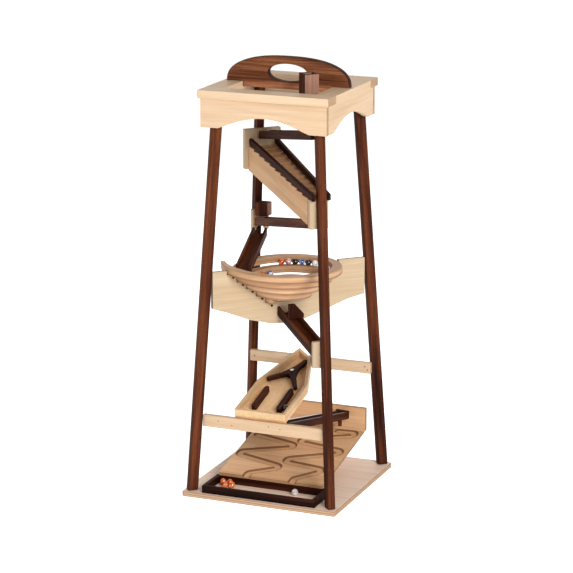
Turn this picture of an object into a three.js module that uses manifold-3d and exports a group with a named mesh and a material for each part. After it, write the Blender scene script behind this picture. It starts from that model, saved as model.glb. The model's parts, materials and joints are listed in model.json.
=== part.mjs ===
// Marble run tower in two woods: a carrying frame on four splayed legs, with channels, a stair,
// a spiral, a three-arm toggle and a zigzag board stacked above a square base.
// Millimetres, +Z up, X to the right, Y to the back, origin at the middle of the base's underside.
import * as THREE from "three";
import { mergeVertices } from "three/addons/utils/BufferGeometryUtils.js";
import Module from "manifold-3d";

const wasm = await Module();
wasm.setup();

// ---- driving dimensions -------------------------------------------------------------------------
const GAP = 0.3; // clearance left between touching pieces
const DEG = Math.PI / 180;
const MARBLE_R = 8;

const BASE = { side: 400, thick: 13.5, corner: 3 };
const LEG = { wide: 19, deep: 25.5, foot: 255.5, lean: 0.077, top: 975 };
const RIM = { half: 166, wide: 50, thick: 19.5, top: 1001 };
const APRON = { half: 160, thick: 12, low: 912, arch: 30, archHalf: 116 };
const HANDLE = {
  half: 158,
  thick: 19,
  top: 1067,
  foot: 988,
  gripHalf: 50,
  gripMid: 1028,
  gripTall: 21,
};
const DROP = { side: 36, bore: 22, at: 122, low: 926, top: 1045 };
const TRACK = { wide: 34, tall: 20, wall: 6, floor: 5 };
const STAIR = {
  back: -164,
  front: 173.5,
  low: 761,
  high: 826,
  slope: 0.2,
  steps: 11,
  tread: 0.026,
  halfBack: 38,
  halfFront: 25,
  drop: 158,
};
const RAIL = { wide: 9, tall: 16, back: -161, front: 199 };
const SPIRAL = {
  x: -10.2,
  y: -4.2,
  start: 202,
  turns: 4.16,
  radius: 142,
  inward: 25,
  top: 565.5,
  fall: 20,
  wide: 24.5,
  tall: 17,
  groove: 9,
  deep: 1,
  perTurn: 28,
  tip: 10, // width at the start, where the track is cut away for the chute
  taper: 38, // degrees over which it reaches its full width
};
const CROSS = { half: 200.3, thick: 12, top: 556 };
const TRAY = {
  x: -10,
  front: -157,
  low: 203.6,
  tilt: 13.5,
  half: 66,
  straight: 150,
  wall: 8,
  floor: 5,
  tall: 23,
};
const RAMP = {
  left: -141,
  right: 133,
  front: -108,
  back: 180,
  top: 41,
  slope: 0.196,
  thick: 8,
  groove: 17,
  deep: 5,
};
const CATCH = { left: -149, right: 146, front: -195, back: -99, wall: 10, tall: 18.6 };

// ---- materials ----------------------------------------------------------------------------------
const tone = (color, roughness, metalness = 0) => ({ color, roughness, metalness });
const MAPLE = tone(0xecd2a6, 0.5);
const BIRCH = tone(0xe2c396, 0.55);
const BEECH = tone(0xcf9f72, 0.45);
const WALNUT = tone(0x5e3420, 0.42);
const STEEL = tone(0xb9b9b4, 0.3, 1);
const GLASS = {
  amber: tone(0xe88a25, 0.08),
  rose: tone(0xd99aa6, 0.08),
  black: tone(0x0b0b0c, 0.08),
  blue: tone(0x5672b4, 0.08),
  white: tone(0xe9e4e0, 0.08),
};

// ---- solids -------------------------------------------------------------------------------------
// A closed geometry as a manifold-3d solid, so that pieces can be cut and joined.
function solid(geometry) {
  const g = geometry.clone();
  g.deleteAttribute("normal");
  g.deleteAttribute("uv");
  const merged = mergeVertices(g, 1e-3);
  return new wasm.Manifold(
    new wasm.Mesh({
      numProp: 3,
      vertProperties: new Float32Array(merged.attributes.position.array),
      triVerts: new Uint32Array(merged.index.array),
    }),
  );
}

// A box from its low corner to its high corner.
function box(low, high) {
  const size = high.map((v, i) => v - low[i]);
  const g = new THREE.BoxGeometry(...size);
  g.translate(...low.map((v, i) => v + size[i] / 2));
  return solid(g);
}

// An outline in XY, raised from z0 to z1.
function slab(points, z0, z1) {
  const shape = new THREE.Shape(points.map((p) => new THREE.Vector2(...p)));
  const g = new THREE.ExtrudeGeometry(shape, { depth: z1 - z0, bevelEnabled: false });
  g.translate(0, 0, z0);
  return solid(g);
}

// An outline in XZ, carried along Y from y0 to y1.
function profile(points, y0, y1) {
  const shape = new THREE.Shape(points.map((p) => new THREE.Vector2(...p)));
  const g = new THREE.ExtrudeGeometry(shape, { depth: y1 - y0, bevelEnabled: false });
  g.rotateX(Math.PI / 2);
  g.translate(0, y1, 0);
  return solid(g);
}

function drill(x, y, r, z0, z1, sides = 20) {
  const g = new THREE.CylinderGeometry(r, r, z1 - z0, sides);
  g.rotateX(Math.PI / 2);
  g.translate(x, y, (z0 + z1) / 2);
  return solid(g);
}

function geometryOf(made) {
  const m = made.getMesh();
  const g = new THREE.BufferGeometry();
  g.setAttribute("position", new THREE.BufferAttribute(new Float32Array(m.vertProperties), 3));
  g.setIndex(new THREE.BufferAttribute(new Uint32Array(m.triVerts), 1));
  const flat = g.toNonIndexed();
  flat.computeVertexNormals();
  return flat;
}

const group = new THREE.Group();
group.name = "marble_run";

function piece(name, made, finish, parent = group) {
  const mesh = new THREE.Mesh(geometryOf(made), new THREE.MeshStandardMaterial(finish));
  mesh.name = name;
  parent.add(mesh);
  return mesh;
}

// ---- frames -------------------------------------------------------------------------------------
// stair: local +X runs from the back left leg to the front right leg.
// cross: local +X runs from the front left leg to the back right leg.
const stair = new THREE.Group();
stair.rotation.z = -45 * DEG;
const cross = new THREE.Group();
cross.rotation.z = 45 * DEG;
group.add(stair, cross);

// Radius of a leg's inner face from the tower's axis at a height.
const legInner = (z) => LEG.foot - LEG.lean * (z - BASE.thick) - LEG.deep / 2;

// ---- base and legs ------------------------------------------------------------------------------
const h = BASE.side / 2;
const c = BASE.corner;
const baseOutline = [
  [-h + c, -h],
  [h - c, -h],
  [h, -h + c],
  [h, h - c],
  [h - c, h],
  [-h + c, h],
  [-h, h - c],
  [-h, -h + c],
];
piece("base_board", slab(baseOutline, 0, BASE.thick), BIRCH);

// Each leg is a sloping bar, cut level at the foot and at the top; its broad side is along the diagonal.
function legSolid() {
  const foot = BASE.thick + GAP;
  const at = (z) => LEG.foot - LEG.lean * (z - BASE.thick);
  const side = LEG.deep / 2;
  const outline = [
    [at(foot) - side, foot],
    [at(foot) + side, foot],
    [at(LEG.top) + side, LEG.top],
    [at(LEG.top) - side, LEG.top],
  ];
  return profile(outline, -LEG.wide / 2, LEG.wide / 2);
}
const LEG_TURN = {
  leg_front_right: -45,
  leg_back_right: 45,
  leg_back_left: 135,
  leg_front_left: -135,
};
for (const [name, turn] of Object.entries(LEG_TURN)) {
  piece(name, legSolid(), WALNUT).rotation.z = turn * DEG;
}

// ---- top frame ----------------------------------------------------------------------------------
const rimLow = RIM.top - RIM.thick;
const open = RIM.half - RIM.wide; // half of the square opening
piece("rim_front", box([-RIM.half, -RIM.half, rimLow], [RIM.half, -open, RIM.top]), MAPLE);
piece("rim_back", box([-RIM.half, open, rimLow], [RIM.half, RIM.half, RIM.top]), MAPLE);
piece("rim_left", box([-RIM.half, -open + GAP, rimLow], [-open, open - GAP, RIM.top]), MAPLE);
piece("rim_right", box([open, -open + GAP, rimLow], [RIM.half, open - GAP, RIM.top]), MAPLE);

// An apron board: straight top, and a low arch along the bottom between two square ends.
function apron(halfLength) {
  const points = [
    [-halfLength, rimLow - GAP],
    [-halfLength, APRON.low],
  ];
  const steps = 16;
  for (let i = 0; i <= steps; i++) {
    const t = -1 + (2 * i) / steps;
    points.push([t * APRON.archHalf, APRON.low + APRON.arch * Math.pow(1 - t * t, 1.2)]);
  }
  points.push([halfLength, APRON.low], [halfLength, rimLow - GAP]);
  return profile(points.reverse(), -APRON.thick / 2, APRON.thick / 2);
}
const apronMid = APRON.half - APRON.thick / 2;
piece("apron_front", apron(APRON.half), MAPLE).position.y = -apronMid;
piece("apron_back", apron(APRON.half), MAPLE).position.y = apronMid;
for (const [name, side] of [
  ["apron_left", -1],
  ["apron_right", 1],
]) {
  const board = piece(name, apron(APRON.half - APRON.thick - GAP), MAPLE);
  board.rotation.z = 90 * DEG;
  board.position.x = side * apronMid;
}

// Carrying handle: a half oval on the side boards, whose tongue drops between them.
function handle() {
  const rise = HANDLE.top - RIM.top - GAP;
  const points = [];
  const steps = 28;
  for (let i = 0; i <= steps; i++) {
    const a = (Math.PI * i) / steps;
    const x = HANDLE.half * Math.sign(Math.cos(a)) * Math.pow(Math.abs(Math.cos(a)), 0.83);
    points.push([x, RIM.top + GAP + rise * Math.pow(Math.sin(a), 0.83)]);
  }
  const tongue = open - GAP;
  points.push(
    [-tongue, RIM.top + GAP],
    [-tongue, HANDLE.foot],
    [tongue, HANDLE.foot],
    [tongue, RIM.top + GAP],
  );
  const board = profile(points, -HANDLE.thick / 2, HANDLE.thick / 2);
  const grip = [];
  for (let i = 0; i < 24; i++) {
    const a = (2 * Math.PI * i) / 24;
    grip.push([HANDLE.gripHalf * Math.cos(a), HANDLE.gripMid + HANDLE.gripTall * Math.sin(a)]);
  }
  return board.subtract(profile(grip, -HANDLE.thick, HANDLE.thick));
}
piece("carry_handle", handle(), WALNUT);

// ---- drop block and channels on the stair diagonal ----------------------------------------------
const ds = DROP.side / 2;
const db = DROP.bore / 2;
const dropBlock = box([DROP.at - ds, -ds, DROP.low], [DROP.at + ds, ds, DROP.top]);
const dropBore = box([DROP.at - db, -db, DROP.low - 1], [DROP.at + db, db, DROP.top + 1]);
piece("drop_block", dropBlock.subtract(dropBore), WALNUT, stair);

// A straight channel of U section from one end to the other; each end is [x, y, height of its rims].
function channel(from, to, { wide, tall, wall } = TRACK, holeAt = 0) {
  const run = Math.hypot(to[0] - from[0], to[1] - from[1]);
  const section = (low, high, y0, y1) =>
    profile(
      [
        [0, from[2] - low],
        [run, to[2] - low],
        [run, to[2] - high],
        [0, from[2] - high],
      ],
      y0,
      y1,
    );
  const inside = wide / 2 - wall;
  const groove = section(tall - TRACK.floor, -40, -inside, inside);
  let made = section(tall, 0, -wide / 2, wide / 2).subtract(groove);
  if (holeAt) made = made.subtract(drill(holeAt, 0, 10, 0, 1200));
  return made
    .rotate([0, 0, Math.atan2(to[1] - from[1], to[0] - from[0]) / DEG])
    .translate([from[0], from[1], 0]);
}

const upperAt = (u) => 861 + (u + 151) * 0.1686;
piece("upper_channel", channel([172, 0, upperAt(172)], [-150, 0, upperAt(-150)]), WALNUT, stair);

// ---- stair --------------------------------------------------------------------------------------
const railLow = (u) => STAIR.high - (u - STAIR.back) * STAIR.slope; // underside of the rails
const returnAt = (u) => 634.6 + (u + 188) * 0.19; // rims of the return channel
function stairBlock() {
  const length = STAIR.front - STAIR.back;
  const pitch = length / STAIR.steps;
  const points = [
    [STAIR.back, STAIR.low],
    [STAIR.front, STAIR.low - length * STAIR.slope],
  ];
  for (let i = STAIR.steps; i > 0; i--) {
    const tip = STAIR.back + i * pitch;
    const z = railLow(tip) - 0.5;
    points.push([tip, z], [tip - pitch, z + pitch * STAIR.tread]);
  }
  const half = [STAIR.halfBack, STAIR.halfFront];
  const plan = slab(
    [
      [STAIR.back, -half[0]],
      [STAIR.front, -half[1]],
      [STAIR.front, half[1]],
      [STAIR.back, half[0]],
    ],
    600,
    900,
  );
  const tunnelHalf = TRACK.wide / 2 + 1;
  const tunnel = profile(
    [
      [110, 600],
      [STAIR.front + 1, 600],
      [STAIR.front + 1, returnAt(STAIR.front) + 3],
      [110, returnAt(110) + 3],
    ],
    -tunnelHalf,
    tunnelHalf,
  );
  const bore = drill(STAIR.drop, 0, 11, 600, 900);
  return profile(points, -60, 60).intersect(plan).subtract(tunnel).subtract(bore);
}
piece("stair_block", stairBlock(), MAPLE, stair);

function rail(side) {
  const outline = [
    [RAIL.back, railLow(RAIL.back)],
    [RAIL.front, railLow(RAIL.front)],
    [RAIL.front, railLow(RAIL.front) + RAIL.tall],
    [RAIL.back, railLow(RAIL.back) + RAIL.tall],
  ];
  const taper = (STAIR.halfBack - STAIR.halfFront) / (STAIR.front - STAIR.back);
  const bar = profile(outline, -RAIL.wide / 2, RAIL.wide / 2);
  const mid = STAIR.halfBack - RAIL.wide / 2;
  const shift = side * (mid + taper * STAIR.back);
  return bar.transform([1, -side * taper, 0, 0, 0, 1, 0, 0, 0, 0, 1, 0, 0, shift, 0, 1]);
}
piece("stair_rail_near", rail(-1), WALNUT, stair);
piece("stair_rail_far", rail(1), WALNUT, stair);

const backPlate = { low: 764, high: 864, half: 48, thick: 11.5 };
const plateBack = -legInner(backPlate.high) + GAP;
const plateFront = plateBack + backPlate.thick;
piece(
  "stair_back_plate",
  box([plateBack, -backPlate.half, backPlate.low], [plateFront, backPlate.half, backPlate.high]),
  MAPLE,
  stair,
);
const endPlate = { low: 684, high: 755.5 };
const endFace = legInner(endPlate.high) - GAP;
piece(
  "stair_end_plate",
  box([STAIR.front + GAP, -24, endPlate.low], [endFace, 24, endPlate.high]),
  MAPLE,
  stair,
);

const returnEnd = -180.5;
const returnFrom = [STAIR.front - GAP, 0, returnAt(STAIR.front)];
const returnTo = [returnEnd, 0, returnAt(returnEnd)];
const returnHole = 334; // how far along the channel marbles drop through its floor
const returnChannel = channel(returnFrom, returnTo, TRACK, returnHole);
piece("return_channel", returnChannel, WALNUT, stair);

// ---- back left corner, where the return channel hands over to the chute ------------------------
const cornerBack = -legInner(656) + GAP;
const cornerPlate = box([cornerBack, -22, 604], [returnEnd - GAP, 22, 656]).subtract(
  drill(0, 0, 12, -30, 30).rotate([0, 90, 0]).translate([cornerBack + 6, 0, 604]),
);
piece("corner_plate", cornerPlate, MAPLE, stair);

// A square collar turned to face the front stands over the end of the return channel.
const collar = box([-131.5, 103, 645], [-99, 131, 678])
  .subtract(box([-125, 108.5, 600], [-105, 125.5, 700]))
  .subtract(box([-400, -20, 600], [returnEnd + 1, 20, 700]).rotate([0, 0, -45]));
piece("corner_collar", collar, WALNUT);

// Steep chute from the corner down to the spiral's outer turn.
const chuteFrom = [-124, 113, 612.6];
const chuteTo = [-79, -96, 569.2];
piece("spiral_chute", channel(chuteFrom, chuteTo, { ...TRACK, wide: 37.5 }), WALNUT);

// ---- spiral -------------------------------------------------------------------------------------
// Angle in degrees from +X, counter-clockwise from above; a marble runs towards larger angles.
const spiralTurn = (angle) => (angle - SPIRAL.start) / 360;
const spiralRadius = (angle) => SPIRAL.radius - SPIRAL.inward * spiralTurn(angle);
const spiralTop = (angle) => SPIRAL.top - SPIRAL.fall * spiralTurn(angle);
// Width of the track as a share of its full width: its inner side is cut away at the start.
function spiralShare(angle) {
  const along = Math.min(1, (angle - SPIRAL.start) / SPIRAL.taper);
  return (SPIRAL.tip + (SPIRAL.wide - SPIRAL.tip) * along) / SPIRAL.wide;
}

function spiralTrack() {
  const half = SPIRAL.wide / 2;
  const section = [
    [-half, -SPIRAL.tall],
    [half, -SPIRAL.tall],
    [half, 0],
  ];
  const arc = 5;
  for (let i = 0; i <= arc; i++) {
    const a = (Math.PI * i) / arc;
    section.push([SPIRAL.groove * Math.cos(a), -SPIRAL.deep * Math.sin(a)]);
  }
  section.push([-half, 0]);
  const rings = Math.round(SPIRAL.turns * SPIRAL.perTurn);
  const n = section.length;
  const position = [];
  const index = [];
  for (let k = 0; k <= rings; k++) {
    const angle = SPIRAL.start + (360 * SPIRAL.turns * k) / rings;
    for (const [across, up] of section) {
      const r = spiralRadius(angle) + half - (half - across) * spiralShare(angle);
      position.push(
        SPIRAL.x + r * Math.cos(angle * DEG),
        SPIRAL.y + r * Math.sin(angle * DEG),
        spiralTop(angle) + up,
      );
    }
  }
  for (let k = 0; k < rings; k++)
    for (let i = 0; i < n; i++) {
      const a = k * n + i;
      const b = k * n + ((i + 1) % n);
      index.push(a, a + n, b, b, a + n, b + n);
    }
  const cap = THREE.ShapeUtils.triangulateShape(
    section.map((p) => new THREE.Vector2(...p)),
    [],
  );
  for (const [a, b, d] of cap) {
    index.push(a, b, d);
    index.push(rings * n + a, rings * n + d, rings * n + b);
  }
  const g = new THREE.BufferGeometry();
  g.setAttribute("position", new THREE.Float32BufferAttribute(position, 3));
  g.setIndex(index);
  return g;
}
piece("spiral_track", solid(spiralTrack()), BEECH);

// The cross board carries the spiral in a step under each turn; its underside sags towards the middle.
function crossBoard() {
  const t = CROSS.thick / 2;
  const underside = [
    [-CROSS.half, 465],
    [-167, 454],
    [-105, 428.5],
    [-50, 414],
    [-5, 411],
    [36, 415.5],
    [110, 440],
    [156, 456],
    [CROSS.half, 464.5],
  ];
  const outline = [[-CROSS.half, CROSS.top], ...underside, [CROSS.half, CROSS.top]];
  let board = profile(outline, -t, t);
  const middle = (SPIRAL.x + SPIRAL.y) * Math.SQRT1_2; // the spiral's axis, measured along the board
  const half = SPIRAL.wide / 2 + 0.8;
  for (const [side, crossing] of [
    [-1, 225],
    [1, 405],
  ]) {
    for (let angle = crossing; spiralTurn(angle) < SPIRAL.turns + 0.1; angle += 360) {
      const outer = middle + side * (spiralRadius(angle) + half);
      const beyond = middle - side * 20;
      const low = spiralTop(angle) - SPIRAL.tall - 1.4;
      const ends = [Math.min(outer, beyond), Math.max(outer, beyond)];
      board = board.subtract(box([ends[0], -t - 1, low], [ends[1], t + 1, 700]));
    }
  }
  return board;
}
piece("spiral_cross_board", crossBoard(), MAPLE, cross);

// ---- trough under the spiral --------------------------------------------------------------------
const troughFrom = [8.2, -13.8, 456];
const troughTo = [199.6, -0.5, 396.5];
const trough = channel(troughFrom, troughTo, { ...TRACK, wide: 39.5, tall: 24 }, 180);
piece("lower_channel", trough, WALNUT, stair);

// Backstop across the trough's walls, with one corner cut off: it stops a marble that leaves the spiral.
const backstopOutline = [
  [-29.2, 438.9],
  [9.8, 438.9],
  [9.8, 449.3],
  [-14.3, 475.8],
  [-29.2, 475.8],
];
piece("spiral_backstop", profile(backstopOutline, -73, -65.5).rotate([0, 0, 90]), WALNUT, stair);

const lowerPlate = { low: 352, high: 417, front: 201.3, left: -25.5, right: 19.5 };
piece(
  "lower_end_plate",
  box(
    [lowerPlate.front, lowerPlate.left, lowerPlate.low],
    [legInner(lowerPlate.high) - GAP, lowerPlate.right, lowerPlate.high],
  ),
  MAPLE,
  stair,
);

// ---- stretchers ---------------------------------------------------------------------------------
piece("stretcher_front", box([-159, -163, 173], [159, -151, 203]), MAPLE);
// The back stretcher is notched to take the narrow end of the toggle tray.
const stretcherBack = box([-162.5, 138.5, 258], [162.5, 150.5, 286.5]);
const stretcherNotch = box([-40, 130, 273.8], [-8, 160, 300]);
piece("stretcher_back", stretcherBack.subtract(stretcherNotch), MAPLE);

// ---- toggle tray --------------------------------------------------------------------------------
// tray: local X across, Y up the slope from the front edge, Z square to the floor, 0 at its underside.
const tray = new THREE.Group();
tray.position.set(TRAY.x, TRAY.front, TRAY.low);
tray.rotation.x = TRAY.tilt * DEG;
group.add(tray);

const trayOutline = [
  [-TRAY.half, 0],
  [TRAY.half, 0],
  [TRAY.half, TRAY.straight],
  [25, 281],
  [-23, 325],
  [-TRAY.half, TRAY.straight],
];
// The same outline drawn in by a distance on every side.
function inset(points, by) {
  const n = points.length;
  return points.map((p, i) => {
    const before = points[(i + n - 1) % n];
    const after = points[(i + 1) % n];
    const d1 = new THREE.Vector2(p[0] - before[0], p[1] - before[1]).normalize();
    const d2 = new THREE.Vector2(after[0] - p[0], after[1] - p[1]).normalize();
    const reach = by / (1 + d1.dot(d2));
    return [p[0] - (d1.y + d2.y) * reach, p[1] + (d1.x + d2.x) * reach];
  });
}
// Holes at the foot of the two outer lanes, over the exit channels.
const laneX = 49.5;
const holeY = 21;
const trayFloor = slab(trayOutline, 0, TRAY.floor)
  .subtract(drill(laneX, holeY, 9.5, -5, 10))
  .subtract(drill(-laneX, holeY, 9.5, -5, 10));
piece("tray_floor", trayFloor, MAPLE, tray);
const trayInside = slab(inset(trayOutline, TRAY.wall), 0, 60);
const trayWalls = slab(trayOutline, TRAY.floor + GAP, TRAY.tall).subtract(trayInside);
piece("tray_walls", trayWalls, MAPLE, tray);

// A straight bar with both ends rounded, standing on the floor between two points.
function bar(from, to, half, z0, z1) {
  const run = Math.hypot(to[0] - from[0], to[1] - from[1]);
  const points = [];
  const arc = 8;
  for (let i = 0; i <= arc; i++) {
    const a = -Math.PI / 2 + (Math.PI * i) / arc;
    points.push([run + half * Math.cos(a), half * Math.sin(a)]);
  }
  for (let i = 0; i <= arc; i++) {
    const a = Math.PI / 2 + (Math.PI * i) / arc;
    points.push([half * Math.cos(a), half * Math.sin(a)]);
  }
  return slab(points, z0, z1)
    .rotate([0, 0, Math.atan2(to[1] - from[1], to[0] - from[0]) / DEG])
    .translate([from[0], from[1], 0]);
}
const onFloor = TRAY.floor + GAP;
const divider = { half: 5.8, high: onFloor + 14 };
for (const [name, from, to] of [
  ["divider_left", [-29.8, 36], [-31.5, 125]],
  ["divider_right", [35, 36], [32, 126]],
]) {
  piece(name, bar(from, to, divider.half, onFloor, divider.high), WALNUT, tray);
}

// Three-arm toggle turning about a screw: one arm points up the slope and two point down it.
const pivot = { x: -0.5, y: 215.5, low: 9.5, high: 19.5, bore: 3.3 };
const ARM = { half: 7.2, root: 27, waist: 12 };
const ARM_TIPS = [
  { x: 36, y: 144, half: 5 },
  { x: 13, y: 271, half: 5.5 },
  { x: -46, y: 172.5, half: 4.7 },
];
// The arms flow into one another: the outline goes round each tip, then along a hollow to the next arm.
function toggleOutline() {
  const round = (x, y, r, angle) => [x + r * Math.cos(angle), y + r * Math.sin(angle)];
  const headings = ARM_TIPS.map((tip) => Math.atan2(tip.y - pivot.y, tip.x - pivot.x));
  const points = [];
  ARM_TIPS.forEach((tip, i) => {
    const heading = headings[i];
    let next = headings[(i + 1) % headings.length];
    if (next < heading) next += 2 * Math.PI;
    for (let k = 0; k <= 6; k++) {
      points.push(round(tip.x, tip.y, tip.half, heading - Math.PI / 2 + (Math.PI * k) / 6));
    }
    const reach = Math.hypot(ARM.root, ARM.half);
    const spread = Math.atan2(ARM.half, ARM.root);
    const leave = round(pivot.x, pivot.y, reach, heading + spread);
    const arrive = round(pivot.x, pivot.y, reach, next - spread);
    const hollow = round(pivot.x, pivot.y, ARM.waist, (heading + next) / 2);
    for (let k = 0; k <= 6; k++) {
      const f = k / 6;
      const weights = [(1 - f) ** 2, 2 * f * (1 - f), f ** 2];
      const at = (j) => leave[j] * weights[0] + hollow[j] * weights[1] + arrive[j] * weights[2];
      points.push([at(0), at(1)]);
    }
  });
  return points;
}
const toggleHole = drill(pivot.x, pivot.y, pivot.bore, 0, 60, 16);
piece("toggle", slab(toggleOutline(), pivot.low, pivot.high).subtract(toggleHole), WALNUT, tray);

// The screw has a flat head above the toggle and a spacing collar below it.
const SCREW = { shaft: 2.8, head: 5, collar: 6 };
const screw = drill(pivot.x, pivot.y, SCREW.shaft, onFloor, pivot.high + 2, 16)
  .add(drill(pivot.x, pivot.y, SCREW.head, pivot.high + 0.5, pivot.high + 2.5, 16))
  .add(drill(pivot.x, pivot.y, SCREW.collar, onFloor, pivot.low - 0.5, 16));
piece("toggle_screw", screw, STEEL, tray);

// ---- channels to and from the tray --------------------------------------------------------------
const TRANSFER = { ...TRACK, wide: 30, tall: 19 };
const EXIT = { wide: 36, tall: 18, wall: 11 };
piece("transfer_channel", channel([131, -140, 371.3], [36, 96, 309], TRANSFER), WALNUT);
piece("exit_channel_right", channel([46, -137, 201], [84, 146, 150], EXIT), WALNUT);
piece("exit_channel_left", channel([-60, -137, 201], [-112, 104, 156], EXIT), WALNUT);

// ---- zigzag board -------------------------------------------------------------------------------
const rampAt = (y) => RAMP.top + (y - RAMP.front) * RAMP.slope;
const LANES = [
  [
    [-122, 92],
    [-13, 59],
    [-129, -4],
    [-9, -49],
    [-67, -93],
    [-67, -120],
  ],
  [
    [72, 158],
    [116, 152],
    [-2, 91],
    [113, 57],
    [0, -11],
    [100, -39],
    [53, -93],
    [53, -120],
  ],
];
// An outline in YZ, carried along X from x0 to x1.
const across = (points, x0, x1) => profile(points, -x1, -x0).rotate([0, 0, 90]);

// The part of a slanted layer that follows the board's face, between two depths below it.
const layer = (y0, y1, above, below) => [
  [y0, rampAt(y0) + above],
  [y0, rampAt(y0) - below],
  [y1, rampAt(y1) - below],
  [y1, rampAt(y1) + above],
];
function zigzagBoard() {
  let lanes = null;
  for (const lane of LANES) {
    for (let i = 1; i < lane.length; i++) {
      const leg = bar(lane[i - 1], lane[i], RAMP.groove / 2, 0, 200);
      lanes = lanes ? lanes.add(leg) : leg;
    }
  }
  const cut = lanes.intersect(across(layer(-200, 250, 40, RAMP.deep), -200, 200));
  const sheet = across(layer(RAMP.front, RAMP.back, 0, RAMP.thick), RAMP.left, RAMP.right);
  return sheet.subtract(cut);
}
piece("zigzag_board", zigzagBoard(), BIRCH);

const fence = { front: 168, top: 157, right: 139 };
const fenceOutline = [
  [fence.front, fence.top],
  [fence.front, rampAt(fence.front) + GAP],
  [RAMP.back, rampAt(RAMP.back) + GAP],
  [RAMP.back, fence.top],
];
piece("zigzag_fence", across(fenceOutline, RAMP.left, fence.right), BIRCH);

// A prop under the back of the zigzag board.
const PROP = { half: 45, front: 146, back: 158 };
const propOutline = [
  [PROP.front, rampAt(PROP.front) - RAMP.thick - GAP],
  [PROP.front, BASE.thick + GAP],
  [PROP.back, BASE.thick + GAP],
  [PROP.back, rampAt(PROP.back) - RAMP.thick - GAP],
];
piece("zigzag_prop", across(propOutline, -PROP.half, PROP.half), MAPLE);

// ---- collecting tray ----------------------------------------------------------------------------
const catchLow = BASE.thick + GAP;
const catchHigh = catchLow + CATCH.tall;
const catchBlock = box([CATCH.left, CATCH.front, catchLow], [CATCH.right, CATCH.back, catchHigh]);
const catchWell = box(
  [CATCH.left + CATCH.wall, CATCH.front + CATCH.wall, 0],
  [CATCH.right - CATCH.wall, CATCH.back - CATCH.wall, 100],
);
piece("collecting_frame", catchBlock.subtract(catchWell), WALNUT);

// ---- marbles ------------------------------------------------------------------------------------
function marble(name, finish, x, y, z, parent = group) {
  const ball = solid(new THREE.IcosahedronGeometry(MARBLE_R, 3));
  piece(name, ball, finish, parent).position.set(x, y, z);
}
// A marble on the spiral at an angle, towards the wall that the turn outside it makes.
const MARBLE_OUT = 3;
function onSpiral(name, finish, angle) {
  const r = spiralRadius(angle) + MARBLE_OUT;
  const x = SPIRAL.x + r * Math.cos(angle * DEG);
  const y = SPIRAL.y + r * Math.sin(angle * DEG);
  marble(name, finish, x, y, spiralTop(angle) - SPIRAL.deep + MARBLE_R + 0.5);
}
const ROW = [
  ["white", 785.5],
  ["black", 797.2],
  ["blue", 807],
  ["black", 816.8],
  ["rose", 826.6],
  ["amber", 836.4],
];
ROW.forEach(([colour, angle], i) => onSpiral("marble_row_" + (i + 1), GLASS[colour], angle));
onSpiral("marble_spiral_1", GLASS.rose, 745);
onSpiral("marble_spiral_2", GLASS.blue, 1220);
onSpiral("marble_spiral_3", GLASS.amber, 1236);

marble("marble_tray", GLASS.black, laneX, 48, onFloor + MARBLE_R + GAP, tray);

const rest = BASE.thick + MARBLE_R + GAP;
marble("marble_catch_1", GLASS.amber, -111.3, -138.5, rest);
marble("marble_catch_2", GLASS.amber, -125.5, -117.8, rest);
marble("marble_catch_3", GLASS.amber, -108, -117.8, rest);
marble("marble_catch_4", GLASS.amber, -94.6, -135.6, rest);
marble("marble_catch_5", GLASS.white, 68, -126, rest);

export default group;
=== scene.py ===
"""Looks for the marble run tower: pale and dark oiled woods, plywood, a beech spiral, a steel screw and
glass marbles. Everything is in metres in the CAD's frame: X to the right, Y to the back, Z up."""

import json
import math
import random

import bmesh
import bpy
import numpy as np
from mathutils import Matrix, Vector


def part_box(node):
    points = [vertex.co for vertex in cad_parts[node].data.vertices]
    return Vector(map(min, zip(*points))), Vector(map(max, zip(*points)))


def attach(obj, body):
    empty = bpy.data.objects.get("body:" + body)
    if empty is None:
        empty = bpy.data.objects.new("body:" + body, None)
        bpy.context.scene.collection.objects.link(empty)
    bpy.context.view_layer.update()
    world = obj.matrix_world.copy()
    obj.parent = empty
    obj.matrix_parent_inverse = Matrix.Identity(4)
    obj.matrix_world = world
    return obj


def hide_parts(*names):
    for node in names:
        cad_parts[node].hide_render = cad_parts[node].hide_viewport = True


MM = 0.001
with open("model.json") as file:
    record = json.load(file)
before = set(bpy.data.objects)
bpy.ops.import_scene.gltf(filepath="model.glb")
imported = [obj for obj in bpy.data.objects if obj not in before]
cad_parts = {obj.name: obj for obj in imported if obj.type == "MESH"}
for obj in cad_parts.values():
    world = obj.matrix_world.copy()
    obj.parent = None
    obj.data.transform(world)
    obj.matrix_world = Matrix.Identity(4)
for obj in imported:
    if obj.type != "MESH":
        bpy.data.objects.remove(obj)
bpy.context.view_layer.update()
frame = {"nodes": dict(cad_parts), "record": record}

# ---- driving sizes, in millimetres, as the CAD has them ---------------------------------------------
SPIRAL = dict(x=-10.2, y=-4.2, start=202, turns=4.16, radius=142, inward=25, top=565.5, fall=20, wide=24.5)
SPIRAL.update(tall=17, deep=1, per_turn=120, tip=10, taper=38)
HANDLE = dict(half=158, thick=19, rim=1001.3, top=1067, foot=988, tongue=115.7)
HANDLE.update(grip=(50, 21), grip_mid=1028)
TRAY = dict(x=-10, front=-157, low=203.6, tilt=math.radians(13.5))
TOGGLE = dict(pivot=(-0.5, 215.5), low=9.5, high=19.5, half=7.2, root=27, waist=12)
TOGGLE_ARMS = [(36, 144, 5), (13, 271, 5.5), (-46, 172.5, 4.7)]  # each tip's centre and radius
# The zigzag board: its groove is half a lane's width, a little more than the CAD's straight cuts have.
RAMP = dict(left=-141, right=133, front=-108, back=180, top=41, slope=0.196, thick=8, groove=9.3, deep=5)
MARBLE_R = 8

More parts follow.
